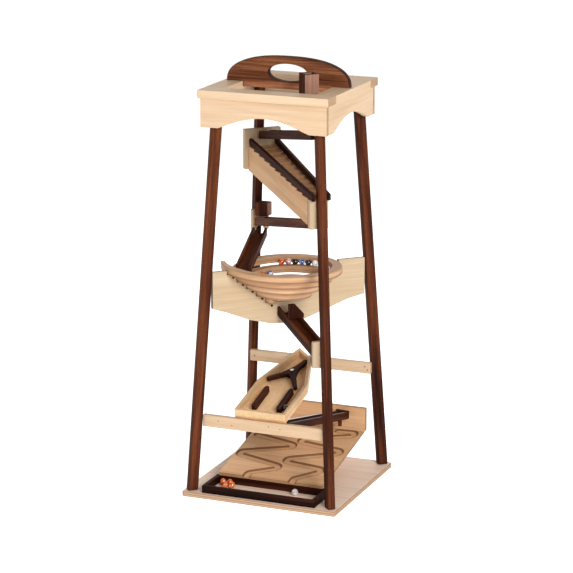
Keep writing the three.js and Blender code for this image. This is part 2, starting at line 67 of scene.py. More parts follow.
# directions
UP = (0, 0, 1)
WIDE = (1, 0, 0)
DEEP = (0, 1, 0)
HALF = math.sqrt(0.5)
STAIR_WAY = (HALF, -HALF, 0)  # from the back left leg to the front right one
CROSS_WAY = (HALF, HALF, 0)


# ---- camera, lights and floor -----------------------------------------------------------------------
def add_camera():
    """A long lens, from the front right and a little above."""
    turn, dip = math.radians(22.295), math.radians(13.836)
    away, height, aside = 5.68928, 1.97016, -0.00533
    right = Vector((math.cos(turn), math.sin(turn), 0))
    data = bpy.data.cameras.new("camera")
    data.lens = 151.5
    data.shift_y = -0.0476
    data.clip_end = 100
    camera = bpy.data.objects.new("camera", data)
    camera.location = Vector((math.sin(turn) * away, -math.cos(turn) * away, height)) + right * aside
    camera.rotation_euler = (math.pi / 2 - dip, 0, turn)
    bpy.context.collection.objects.link(camera)
    bpy.context.scene.camera = camera


def add_area(name, place, aim, size, watts, tint):
    """A rectangular soft light that looks at a point."""
    data = bpy.data.lights.new(name, "AREA")
    data.shape = "RECTANGLE"
    data.size, data.size_y = size
    data.energy = watts
    data.color = tint
    light = bpy.data.objects.new(name, data)
    light.location = place
    light.rotation_euler = (Vector(aim) - Vector(place)).to_track_quat("-Z", "Y").to_euler()
    bpy.context.collection.objects.link(light)


def add_studio():
    """Pale surroundings, a key light from the front right, and weaker ones from the left, back and top."""
    world = bpy.data.worlds.new("studio")
    world.use_nodes = True
    back = world.node_tree.nodes["Background"]
    back.inputs["Color"].default_value = (1.0, 0.99, 0.98, 1)
    back.inputs["Strength"].default_value = 0.30
    bpy.context.scene.world = world
    middle = (0, 0, 0.55)
    add_area("key", (3.1, -3.1, 2.2), middle, (1.5, 1.5), 196, (1.0, 0.99, 0.975))
    add_area("fill", (-2.8, -2.8, 1.3), middle, (1.8, 1.8), 18, (1.0, 0.99, 0.98))
    add_area("glow", (-1.3, 3.2, 2.1), (0, 0, 0.75), (4.8, 2.5), 40, (1.0, 1.0, 1.0))
    add_area("sky", (-0.5, 0.3, 3.3), middle, (2.2, 2.2), 15, (1.0, 0.99, 0.98))
    bpy.context.scene.view_settings.view_transform = "Standard"


def add_floor():
    """A wide pale floor, a hair below the base board."""
    mesh = bpy.data.meshes.new("floor")
    half = 30.0
    corners = [(-half, -half, 0), (half, -half, 0), (half, half, 0), (-half, half, 0)]
    mesh.from_pydata(corners, [], [(0, 1, 2, 3)])
    floor = bpy.data.objects.new("floor", mesh)
    floor.location.z = -0.0005
    bpy.context.collection.objects.link(floor)
    material = bpy.data.materials.new("floor")
    material.use_nodes = True
    shader = material.node_tree.nodes["Principled BSDF"]
    shader.inputs["Base Color"].default_value = (0.95, 0.95, 0.95, 1)
    shader.inputs["Roughness"].default_value = 0.9
    shader.inputs["Emission Color"].default_value = (1.0, 1.0, 1.0, 1)
    shader.inputs["Emission Strength"].default_value = 0.74
    mesh.materials.append(material)


# ---- materials --------------------------------------------------------------------------------------
BLACK = (0, 0, 0, 1)
WHITE = (1, 1, 1, 1)


def linear(rgb):
    """An sRGB colour of 0 to 255 as linear values for a shader."""
    parts = [c / 255 for c in rgb]
    return tuple(c / 12.92 if c <= 0.04045 else ((c + 0.055) / 1.055) ** 2.4 for c in parts) + (1.0,)


class Nodes:
    """Short ways to add and join shader nodes in one material."""

    def __init__(self, name):
        self.material = bpy.data.materials.new(name)
        self.material.use_nodes = True
        self.tree = self.material.node_tree
        self.shader = self.tree.nodes["Principled BSDF"]

    def add(self, kind, **settings):
        node = self.tree.nodes.new(kind)
        for key, value in settings.items():
            setattr(node, key, value)
        return node

    def link(self, source, target):
        self.tree.links.new(source, target)

    def math(self, operation, a, b):
        node = self.add("ShaderNodeMath", operation=operation)
        for socket, value in zip(node.inputs, (a, b)):
            if isinstance(value, (int, float)):
                socket.default_value = value
            else:
                self.link(value, socket)
        return node.outputs[0]

    def dot(self, source, way):
        node = self.add("ShaderNodeVectorMath", operation="DOT_PRODUCT")
        self.link(source, node.inputs[0])
        node.inputs[1].default_value = way
        return node.outputs["Value"]

    def normal(self):
        return self.add("ShaderNodeNewGeometry").outputs["Normal"]

    def placed(self, source, scale, shift=(0, 0, 0), turn=(0, 0, 0)):
        node = self.add("ShaderNodeMapping")
        node.inputs["Scale"].default_value = scale
        node.inputs["Location"].default_value = shift
        node.inputs["Rotation"].default_value = turn
        self.link(source, node.inputs["Vector"])
        return node.outputs[0]

    def noise(self, source, scale, detail=4, rough=0.55, warp=0.0):
        node = self.add("ShaderNodeTexNoise")
        node.inputs["Scale"].default_value = scale
        node.inputs["Detail"].default_value = detail
        node.inputs["Roughness"].default_value = rough
        node.inputs["Distortion"].default_value = warp
        self.link(source, node.inputs["Vector"])
        return node.outputs["Fac"]

    def ramp(self, source, stops):
        node = self.add("ShaderNodeValToRGB")
        elements = node.color_ramp.elements
        while len(elements) < len(stops):
            elements.new(0.5)
        for element, (place, colour) in zip(elements, stops):
            element.position = place
            element.color = colour
        self.link(source, node.inputs["Fac"])
        return node.outputs["Color"]

    def mix(self, amount, a, b, kind="MIX"):
        node = self.add("ShaderNodeMix", data_type="RGBA", blend_type=kind)
        for socket, value in ((node.inputs[0], amount), (node.inputs[6], a), (node.inputs[7], b)):
            if isinstance(value, (int, float, tuple)):
                socket.default_value = value
            else:
                self.link(value, socket)
        return node.outputs[2]

    def bump(self, height, strength, distance):
        node = self.add("ShaderNodeBump")
        node.inputs["Strength"].default_value = strength
        node.inputs["Distance"].default_value = distance
        self.link(height, node.inputs["Height"])
        self.link(node.outputs["Normal"], self.shader.inputs["Normal"])


END_GRAIN = 0.75  # how dark end grain is, from 0 to 1
WOODS = {
    # dark, middle and light tone of the figure; pore tone; how far fine lines and pores show; roughness,
    # coat and specular level
    "maple": dict(
        tones=((190, 161, 129), (200, 172, 141), (207, 181, 152)),
        pore=(172, 134, 98),
        lines=0.2,
        pores=0.12,
        rough=0.48,
        coat=0.05,
        shine=0.15,
    ),
    "birch": dict(
        tones=((190, 148, 108), (202, 160, 120), (211, 171, 132)),
        pore=(160, 116, 78),
        lines=0.25,
        pores=0.15,
        rough=0.5,
        coat=0.05,
        shine=0.15,
    ),
    # a lighter, warmer birch: painted light on the tray floor
    "birch_warm_painted_light": dict(
        tones=((230, 183, 134), (240, 196, 147), (246, 206, 160)),
        pore=(184, 138, 94),
        lines=0.3,
        pores=0.15,
        rough=0.5,
        coat=0.05,
        shine=0.15,
    ),
    # a pale plywood, made paler still as painted light on the base board's top
    "birch_pale": dict(
        tones=((224, 196, 174), (234, 209, 188), (240, 217, 198)),
        pore=(186, 152, 122),
        lines=0.2,
        pores=0.12,
        rough=0.5,
        coat=0.05,
        shine=0.15,
    ),
    "beech": dict(
        tones=((172, 130, 94), (190, 150, 114), (206, 167, 131)),
        pore=(128, 90, 60),
        lines=0.3,
        pores=0.3,
        rough=0.45,
        coat=0.05,
        shine=0.2,
    ),
    "walnut": dict(
        tones=((31, 11, 5), (65, 30, 16), (104, 56, 33)),
        pore=(16, 5, 2),
        lines=0.7,
        pores=0.7,
        rough=0.5,
        coat=0.0,
        shine=0.05,
    ),
    "walnut_dark": dict(
        tones=((20, 6, 3), (46, 17, 8), (78, 38, 22)),
        pore=(12, 4, 2),
        lines=0.6,
        pores=0.6,
        rough=0.48,
        coat=0.0,
        shine=0.05,
    ),
    # a lighter walnut; on the return channel its lighter tones are painted highlight
    "walnut_lighter": dict(
        tones=((58, 27, 14), (116, 70, 45), (176, 118, 84)),
        pore=(30, 11, 6),
        lines=0.8,
        pores=0.8,
        rough=0.5,
        coat=0.0,
        shine=0.06,
    ),
}
VARIANTS = {
    # name: the wood it is a variant of, its own tones, and how dark its end grain is
    # a darker maple: painted shade for the cross board and plates that get less light
    "maple_painted_shade": ("maple", ((177, 153, 124), (182, 160, 131), (187, 166, 138)), END_GRAIN),
    "maple_warm": ("maple", ((192, 158, 118), (204, 170, 128), (212, 180, 140)), 0),
    # a lighter birch: painted light on the zigzag board's top
    "birch_painted_light": ("birch", ((203, 158, 116), (216, 171, 128), (225, 183, 141)), END_GRAIN),
}
for variant, (base, tones, ends) in VARIANTS.items():
    WOODS[variant] = dict(WOODS[base], tones=tones, ends=ends)


def facing(n, way):
    """How far a surface looks along a direction, 0 to 1, whichever side it is on."""
    return n.math("ABSOLUTE", n.dot(n.normal(), way), 0)


def end_grain(n, colour, along, share):
    """Darkens the faces that the grain runs out of."""
    end = n.ramp(facing(n, along), [(0.6, BLACK), (0.85, WHITE)])
    return n.mix(n.math("MULTIPLY", end, share), colour, (0.52, 0.40, 0.30, 1), "MULTIPLY")


def ply_edges(n, colour, place, axis, layer):
    """Light and dark layers of one thickness, stacked along an axis, on the edges of a sheet."""
    edge = n.ramp(facing(n, axis), [(0.72, WHITE), (0.94, BLACK)])
    wave = n.math("SINE", n.math("MULTIPLY", n.dot(place, axis), math.pi / layer), 0)
    band = n.math("GREATER_THAN", wave, 0.0)
    layers = n.mix(band, linear((172, 138, 104)), linear((124, 84, 54)))
    return n.mix(n.math("MULTIPLY", edge, 0.8), colour, layers)


def dark_rim(n, colour, face):
    """Darker, almost black edges round a board whose broad face looks along a direction."""
    rim = n.ramp(facing(n, face), [(0.55, WHITE), (0.95, BLACK)])
    return n.mix(n.math("MULTIPLY", rim, 0.85), colour, linear((40, 18, 12)))


def painted_lit_side(n, colour, side, streaks, strength):
    """Painted highlight: paler, streaked wood on the one side of a block that looks along a direction,
    where the light falls on it.
    """
    there = n.ramp(n.dot(n.normal(), side), [(0.85, BLACK), (0.97, WHITE)])
    streaked = n.mix(strength, linear((150, 114, 98)), streaks, "MULTIPLY")
    return n.mix(n.math("MULTIPLY", there, 0.9), colour, streaked)


def lane_shade_and_lines(n, colour):
    """Painted shade on the floors of the lanes cut into a board, and dark lines along their edges, where
    the mesh's attributes say.
    """
    inside = n.add("ShaderNodeAttribute", attribute_name="lane").outputs["Fac"]
    dark_line = n.add("ShaderNodeAttribute", attribute_name="lane_edge").outputs["Fac"]
    colour = n.mix(n.math("MULTIPLY", inside, 0.3), colour, (0.80, 0.70, 0.58, 1), "MULTIPLY")
    return n.mix(n.math("MULTIPLY", dark_line, 0.95), colour, linear((100, 60, 30)))


def painted_shadow_line(n, colour, place, shadow_line_at):
    """Painted shadow: a dark line along a track, at a distance in metres round its section, for the shade
    in the gap under each turn of the spiral.
    """
    around = n.add("ShaderNodeSeparateXYZ")
    n.link(place, around.inputs[0])
    away = n.math("ABSOLUTE", n.math("SUBTRACT", around.outputs["Y"], shadow_line_at), 0)
    dark_line = n.ramp(n.math("MULTIPLY", away, 250), [(0.35, WHITE), (1.0, BLACK)])
    return n.mix(n.math("MULTIPLY", dark_line, 0.6), colour, linear((96, 58, 34)))


def wood(
    kind, name, along, seed, plies=None, face=None, pale=None, lanes=False, shadow_line_at=None, glazed=False
):
    """Oiled wood whose grain runs along a direction, with darker end grain. plies is the direction that a
    plywood's layers are stacked in and one layer's thickness. face is a board's direction for darker edges
    round it, pale a block's for a painted highlight on its lit side, lanes asks for painted shade in lanes
    and dark lines along their edges, and seam is the distance for a painted shadow line, on a mesh whose
    own coordinates run along it.
    glazed gives the faces that look up a shine."""
    look = WOODS[kind]
    n = Nodes(name)
    dice = random.Random(seed)
    shift = tuple(dice.uniform(-3, 3) for _ in range(3))
    place = n.add("ShaderNodeTexCoord").outputs["UV" if shadow_line_at else "Object"]
    turn = Vector(along).rotation_difference(Vector(WIDE)).to_euler()
    grain = n.placed(place, (1, 1, 1), turn=turn)
    figure = n.noise(n.placed(grain, (1.3, 15, 15), shift), 1.0, detail=3, rough=0.5, warp=0.7)
    rings = n.noise(n.placed(grain, (3.0, 95, 95), shift), 1.0, detail=3, warp=0.4)
    lines = n.noise(n.placed(grain, (9, 420, 420), shift), 1.0, detail=3)
    fibres = n.noise(n.placed(grain, (55, 1300, 1300), shift), 1.0, detail=2)
    tone = n.math("ADD", n.math("MULTIPLY", figure, 0.55), n.math("MULTIPLY", rings, 0.45))
    dark, middle, light = (linear(c) for c in look["tones"])
    colour = n.ramp(tone, [(0.38, dark), (0.49, middle), (0.62, light)])
    streaks = n.ramp(lines, [(0.35, (0.62, 0.55, 0.5, 1)), (0.62, (1.12, 1.1, 1.08, 1))])
    colour = n.mix(look["lines"], colour, streaks, "MULTIPLY")
    pores = n.ramp(fibres, [(0.30, WHITE), (0.42, BLACK)])
    colour = n.mix(n.math("MULTIPLY", pores, look["pores"]), colour, linear(look["pore"]))
    if shadow_line_at:
        colour = painted_shadow_line(n, colour, place, shadow_line_at)
    else:
        colour = end_grain(n, colour, along, look.get("ends", END_GRAIN))
    if plies:
        colour = ply_edges(n, colour, place, *plies)
    if face:
        colour = dark_rim(n, colour, face)
    if pale:
        colour = painted_lit_side(n, colour, pale, streaks, look["lines"])
    if lanes:
        colour = lane_shade_and_lines(n, colour)
    n.link(colour, n.shader.inputs["Base Color"])
    gloss = n.math("ADD", n.math("MULTIPLY", lines, 0.22), look["rough"] - 0.08)
    n.link(gloss, n.shader.inputs["Roughness"])
    n.shader.inputs["Specular IOR Level"].default_value = look["shine"]
    n.shader.inputs["Coat Weight"].default_value = look["coat"]
    n.shader.inputs["Coat Roughness"].default_value = 0.28
    if glazed:
        n.link(n.ramp(facing(n, UP), [(0.93, BLACK), (0.97, WHITE)]), n.shader.inputs["Coat Weight"])
        n.shader.inputs["Coat Roughness"].default_value = 0.03
    relief = n.math("SUBTRACT", n.math("MULTIPLY", lines, 0.6), n.math("MULTIPLY", pores, look["pores"]))
    n.bump(relief, 0.35, 0.0006)
    return n.material


def glass(name, colours, seed, seen_through):
    """Marble glass: coloured ribbons twisted through a clear or solid body."""
    n = Nodes(name)
    dice = random.Random(seed)
    turn = tuple(dice.uniform(0, 6.28) for _ in range(3))
    place = n.placed(n.add("ShaderNodeTexCoord").outputs["Object"], (1, 1, 1), turn=turn)
    wave = n.add("ShaderNodeTexWave", wave_type="BANDS", bands_direction="DIAGONAL")
    wave.inputs["Scale"].default_value = 42
    wave.inputs["Distortion"].default_value = 7
    wave.inputs["Detail"].default_value = 2
    wave.inputs["Detail Scale"].default_value = 1.2
    n.link(place, wave.inputs["Vector"])
    stops = [(i / (len(colours) - 1), linear(c)) for i, c in enumerate(colours)]
    n.link(n.ramp(wave.outputs["Fac"], stops), n.shader.inputs["Base Color"])
    n.link(n.math("ADD", n.math("MULTIPLY", n.noise(place, 300), 0.05), 0.03), n.shader.inputs["Roughness"])
    n.bump(n.noise(place, 120, detail=2), 0.05, 0.0003)
    n.shader.inputs["Transmission Weight"].default_value = seen_through
    n.shader.inputs["IOR"].default_value = 1.5
    n.shader.inputs["Coat Weight"].default_value = 1.0
    n.shader.inputs["Coat Roughness"].default_value = 0.03
    return n.material


def steel(name):
    """Bright steel with fine scratches along one direction."""
    n = Nodes(name)
    place = n.add("ShaderNodeTexCoord").outputs["Object"]
    scratch = n.noise(n.placed(place, (900, 6000, 900)), 1.0, detail=3)
    tone = n.ramp(scratch, [(0.3, linear((168, 168, 164))), (0.7, linear((214, 213, 208)))])
    n.link(tone, n.shader.inputs["Base Color"])
    n.link(n.math("ADD", n.math("MULTIPLY", scratch, 0.2), 0.18), n.shader.inputs["Roughness"])
    n.shader.inputs["Metallic"].default_value = 1.0
    n.bump(scratch, 0.1, 0.0002)
    return n.material


# ---- mesh helpers -----------------------------------------------------------------------------------
def add_piece(name, mesh, material, body="tower", replaces=(), place=None):
    """Puts a new mesh into the scene, on its body and in place of the CAD nodes it stands for."""
    piece = bpy.data.objects.new(name, mesh)
    if place is not None:
        piece.matrix_world = place
    bpy.context.collection.objects.link(piece)
    mesh.materials.append(material)
    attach(piece, body)
    if replaces:
        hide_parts(*replaces)
    return piece


def mesh_from(name, points, faces):
    """A smoothly shaded mesh from points in metres, with its faces turned outwards."""
    mesh = bpy.data.meshes.new(name)
    mesh.from_pydata([tuple(p) for p in points], [], faces)
    work = bmesh.new()
    work.from_mesh(mesh)
    bmesh.ops.recalc_face_normals(work, faces=work.faces)
    work.to_mesh(mesh)
    work.free()
    for face in mesh.polygons:
        face.use_smooth = True
    return mesh


def tube_faces(rings, count):
    """Faces of a closed section of some points that is repeated in rings along a path, both ends closed."""
    faces = []
    for i in range(rings - 1):
        here, there = i * count, (i + 1) * count
        for j in range(count):
            k = (j + 1) % count
            faces.append([here + j, here + k, there + k, there + j])
    faces.append(list(range(count)))
    faces.append([(rings - 1) * count + j for j in range(count)])
    return faces


def sharpen(mesh, degrees):
    """Smooth shading that stops at edges sharper than an angle."""
    work = bmesh.new()
    work.from_mesh(mesh)
    limit = math.radians(degrees)
    for edge in work.edges:
        edge.smooth = len(edge.link_faces) == 2 and edge.calc_face_angle(0) < limit
    for face in work.faces:
        face.smooth = True
    work.to_mesh(mesh)
    work.free()


def board_mesh(name, outlines, thick, edge):
    """A flat board with rounded edges from closed outlines in its own XY: the first is the rim, any other a
    hole. All sizes are in millimetres."""
    data = bpy.data.curves.new(name, "CURVE")
    data.dimensions = "2D"
    data.fill_mode = "BOTH"
    data.extrude = (thick / 2 - edge) * MM
    data.bevel_depth = edge * MM
    data.bevel_resolution = 3
    data.offset = -edge * MM
    for outline in outlines:
        line = data.splines.new("POLY")
        line.points.add(len(outline) - 1)
        for point, (x, y) in zip(line.points, outline):
            point.co = (x * MM, y * MM, 0, 1)
        line.use_cyclic_u = True
    source = bpy.data.objects.new(name, data)
    bpy.context.collection.objects.link(source)
    bpy.context.view_layer.update()
    mesh = bpy.data.meshes.new_from_object(source.evaluated_get(bpy.context.evaluated_depsgraph_get()))
    bpy.data.objects.remove(source)
    bpy.data.curves.remove(data)
    mesh.materials.clear()
    work = bmesh.new()
    work.from_mesh(mesh)
    bmesh.ops.remove_doubles(work, verts=work.verts, dist=2e-6)
    bmesh.ops.recalc_face_normals(work, faces=work.faces)
    work.to_mesh(mesh)
    work.free()
    sharpen(mesh, 35)
    return mesh


def arc(centre, radius, start, end, steps):
    """Points on a circle between two angles in degrees, both ends included."""
    turns = [math.radians(start + (end - start) * i / steps) for i in range(steps + 1)]
    return [(centre[0] + radius * math.cos(t), centre[1] + radius * math.sin(t)) for t in turns]


def lathe_mesh(name, profile, steps):
    """A turned piece about Z. Its profile is (radius, height) in millimetres, from the axis to the axis."""
    points = []
    rows = []
    for radius, height in profile:
        if radius == 0:
            rows.append([len(points)] * steps)
            points.append((0, 0, height * MM))
            continue
        rows.append(list(range(len(points), len(points) + steps)))
        for k in range(steps):
            t = 2 * math.pi * k / steps
            points.append((radius * MM * math.cos(t), radius * MM * math.sin(t), height * MM))
    faces = []
    for low, high in zip(rows, rows[1:]):
        for k in range(steps):
            j = (k + 1) % steps
            face = [low[k], low[j], high[j], high[k]]
            faces.append([v for i, v in enumerate(face) if v not in face[:i]])
    mesh = mesh_from(name, points, faces)
    sharpen(mesh, 40)
    return mesh


# ---- carried-over CAD nodes -------------------------------------------------------------------------
def finish_node(node, material, edge):
    """Gives a CAD node its material, welds its split corners and rounds its edges."""
    shape = frame["nodes"][node]
    shape.data.materials.clear()
    shape.data.materials.append(material)
    for face in shape.data.polygons:
        face.use_smooth = True
    weld = shape.modifiers.new("weld", "WELD")
    weld.merge_threshold = 1e-5
    bevel = shape.modifiers.new("bevel", "BEVEL")
    bevel.width = edge * MM
    bevel.segments = 3
    bevel.limit_method = "ANGLE"
    bevel.angle_limit = math.radians(32)
    bevel.use_clamp_overlap = True
    normals = shape.modifiers.new("normals", "WEIGHTED_NORMAL")
    normals.keep_sharp = False
    normals.weight = 80


LEG_LEAN = 0.077  # how far a leg leans in for each unit of its height


def leg_way(node):
    """Direction of a leg: up, and in towards the tower's axis."""
    low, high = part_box(node)
    out = Vector(((low[0] + high[0]) / 2, (low[1] + high[1]) / 2, 0)).normalized()
    return tuple(Vector((-out.x * LEG_LEAN, -out.y * LEG_LEAN, 1)).normalized())


def finish_frame():
    """Woods of the CAD nodes that keep their shape: kind, grain direction and edge rounding of each."""
    stair_fall = (HALF, -HALF, -0.2)
    plan = {
        "apron_front": ("maple", WIDE, 1.2),
        "apron_back": ("maple", WIDE, 1.2),
        "apron_left": ("maple", DEEP, 1.2),
        "apron_right": ("maple", DEEP, 1.2),
        "rim_front": ("maple", WIDE, 1.2),
        "rim_back": ("maple", WIDE, 1.2),
        "rim_left": ("maple", DEEP, 0.8),
        "rim_right": ("maple", DEEP, 0.8),
        "drop_block": ("walnut", UP, 1.5),
        "stair_back_plate": ("maple_painted_shade", UP, 1.5),
        "stair_block": ("birch", stair_fall, 0.5),
        "stair_rail_near": ("walnut_dark", stair_fall, 1.6),
        "stair_rail_far": ("walnut_dark", stair_fall, 1.6),
        "stair_end_plate": ("maple_painted_shade", UP, 1.5),
        "corner_plate": ("maple", UP, 1.5),
        "corner_collar": ("walnut", UP, 3.4),
        "spiral_cross_board": ("maple_painted_shade", CROSS_WAY, 1.2),
        "spiral_backstop": ("walnut_dark", UP, 1.2),
        "lower_end_plate": ("maple_painted_shade", UP, 1.5),
        "stretcher_front": ("maple", WIDE, 1.5),
        "stretcher_back": ("maple", WIDE, 1.8),
        "tray_floor": ("birch_warm_painted_light", DEEP, 0.4),
        "tray_walls": ("maple_warm", DEEP, 1.0),
        "divider_left": ("walnut_dark", DEEP, 1.6),
        "divider_right": ("walnut_dark", DEEP, 1.6),
        "zigzag_prop": ("maple", UP, 1.2),
        "collecting_frame": ("walnut_dark", WIDE, 1.4),
    }
    # sides of blocks made paler as painted highlight, where the light falls on them
    painted_lit_sides = {"drop_block": STAIR_WAY, "corner_collar": WIDE}
    for seed, (node, (kind, way, edge)) in enumerate(plan.items()):
        finish_node(node, wood(kind, node, way, seed, pale=painted_lit_sides.get(node)), edge)
    for seed, node in enumerate(n for n in sorted(frame["nodes"]) if n.startswith("leg_")):
        finish_node(node, wood("walnut", node, leg_way(node), 40 + seed), 3.2)
    finish_node("base_board", wood("birch_pale", "base_board", WIDE, 50, plies=(UP, 0.0027)), 1.6)
    finish_node("zigzag_fence", wood("birch", "zigzag_fence", WIDE, 51, plies=(DEEP, 0.002)), 1.6)
    finish_node("toggle_screw", steel("toggle_screw"), 0.5)


# ---- carrying handle --------------------------------------------------------------------------------
def add_handle():
    """A half oval with a tongue below and a finger hole, softly rounded all round."""
    rise = HANDLE["top"] - HANDLE["rim"]
    power = 2 / 2.4
    outline = []
    steps = 96
    for i in range(steps + 1):
        t = math.pi * i / steps
        c, s = math.cos(t), math.sin(t)
        x = HANDLE["half"] * math.copysign(abs(c) ** power, c)
        outline.append((x, HANDLE["rim"] + rise * max(0.0, s) ** power))
    tongue = HANDLE["tongue"]
    outline += [(-tongue, HANDLE["rim"]), (-tongue, HANDLE["foot"])]
    outline += [(tongue, HANDLE["foot"]), (tongue, HANDLE["rim"])]
    half, tall = HANDLE["grip"]
    grip = []
    for i in range(72):
        t = -2 * math.pi * i / 72
        c, s = math.cos(t), math.sin(t)
        flat = 0.88 if s < 0 else 1.0  # the hole is a little flatter below
        grip.append((half * c, HANDLE["grip_mid"] + tall * math.copysign(abs(s) ** flat, s)))
    mesh = board_mesh("handle", [outline, grip], HANDLE["thick"], 3.0)
    stand = Matrix.Rotation(math.pi / 2, 4, "X")
    mesh.transform(stand)
    material = wood("walnut_lighter", "handle", WIDE, 61, face=DEEP)
    add_piece("handle", mesh, material, replaces=["carry_handle"])


# ---- lanes ------------------------------------------------------------------------------------------
LANES = {
    # node: its two ends as (x, y, height of the rims), its width and height, and half its groove's width
    "upper_channel": ((172, 0, 915.5), (-150, 0, 861.2), 34, 20, 10.5),
    "return_channel": ((173.2, 0, 703.2), (-180.5, 0, 636.0), 34, 20, 10.5),
    "lower_channel": ((8.2, -13.8, 456), (199.6, -0.5, 396.5), 39.5, 24, 13.5),
    "spiral_chute": ((-124, 113, 612.6), (-79, -96, 569.2), 37.5, 20, 12.5),
    "transfer_channel": ((131, -140, 371.3), (36, 96, 309), 30, 19, 9.5),
    "exit_channel_right": ((46, -137, 201), (84, 146, 150), 36, 18, 8.8),
    "exit_channel_left": ((-60, -137, 201), (-112, 104, 156), 36, 18, 8.8),
}
ON_STAIR = ("upper_channel", "return_channel", "lower_channel")  # their x is along the stair's diagonal
HOLES = {"return_channel": 334, "lower_channel": 180}  # distance of a drop hole from the lane's first end


def lane_section(wide, tall, groove):
    """Outline across a lane, rims at height 0: a block with eased corners and a round-bottomed groove."""
    half, ease = wide / 2, 1.3
    under = 5  # wood left below the groove
    deep = tall - under
    section = arc((-half + ease, -tall + ease), ease, 180, 270, 3)
    section += arc((half - ease, -tall + ease), ease, 270, 360, 3)
    section += arc((half - ease, -ease), ease, 0, 90, 3)
    steps = 12
    lip = 0.8
    section.append((groove + lip, 0))
    for i in range(steps + 1):
        t = math.pi * i / steps
        section.append((groove * math.cos(t), -lip - (deep - lip) * math.sin(t) ** 0.8))
    section.append((-groove - lip, 0))
    section += arc((-half + ease, -ease), ease, 90, 180, 3)
    return section


def add_lanes():
    """A straight sloping channel for each lane."""
    cuts = 24
    for seed, (node, (start, end, wide, tall, groove)) in enumerate(LANES.items()):
        section = lane_section(wide, tall, groove)
        run = math.hypot(end[0] - start[0], end[1] - start[1])
        drop = end[2] - start[2]
        points = []
        for i in range(cuts + 1):
            f = i / cuts
            for across, height in section:
                points.append((run * f * MM, across * MM, (start[2] + drop * f + height) * MM))
        mesh = mesh_from(node, points, tube_faces(cuts + 1, len(section)))
        if node in HOLES:
            drill_lane(mesh, HOLES[node])
        sharpen(mesh, 30)
        turn = Matrix.Rotation(math.atan2(end[1] - start[1], end[0] - start[0]), 4, "Z")
        place = Matrix.Translation((start[0] * MM, start[1] * MM, 0)) @ turn
        if node in ON_STAIR:
            place = Matrix.Rotation(-math.pi / 4, 4, "Z") @ place
        mesh.transform(place)
        way = place.to_3x3() @ Vector((run, 0, drop)).normalized()
        # the return channel's lighter walnut is painted highlight
        kind = "walnut_lighter" if node == "return_channel" else "walnut"
        material = wood(kind, node, way, 70 + seed, glazed=node.startswith("exit_channel"))
        add_piece("lane_" + node, mesh, material, replaces=[node])


def drill_lane(mesh, along):
    """Cuts a round upright hole through a lane's floor."""
    radius, steps = 10, 40
    turns = [2 * math.pi * k / steps for k in range(steps)]
    ring = [(along + radius * math.cos(t), radius * math.sin(t)) for t in turns]
    points = [(x * MM, y * MM, z) for z in (0.2, 1.0) for x, y in ring]
    faces = [[k, (k + 1) % steps, steps + (k + 1) % steps, steps + k] for k in range(steps)]
    faces += [list(range(steps)), list(range(steps, 2 * steps))]
    bore = bpy.data.objects.new("bore", mesh_from("bore", points, faces))
    block = bpy.data.objects.new("block", mesh)
    for made in (bore, block):
        bpy.context.collection.objects.link(made)
    cut = block.modifiers.new("cut", "BOOLEAN")
    cut.object = bore
    cut.solver = "EXACT"
    bpy.context.view_layer.update()
    drilled = bpy.data.meshes.new_from_object(block.evaluated_get(bpy.context.evaluated_depsgraph_get()))
    work = bmesh.new()
    work.from_mesh(drilled)
    work.to_mesh(mesh)
    work.free()
    for made in (bore, block):
        bpy.data.objects.remove(made)


# ---- spiral -----------------------------------------------------------------------------------------
def spiral_turn(angle):
    """Turns from the spiral's upper end to an angle in degrees."""
    return (angle - SPIRAL["start"]) / 360


def spiral_radius(angle):
    """Radius of the middle of the track where it has its full width."""
    return SPIRAL["radius"] - SPIRAL["inward"] * spiral_turn(angle)


def spiral_top(angle):
    """Height of the track's top."""
    return SPIRAL["top"] - SPIRAL["fall"] * spiral_turn(angle)


def spiral_share(angle):
    """Width of the track as a share of its full width: its inner side is cut away at the start."""
    along = min(1, (angle - SPIRAL["start"]) / SPIRAL["taper"])
    return (SPIRAL["tip"] + (SPIRAL["wide"] - SPIRAL["tip"]) * along) / SPIRAL["wide"]


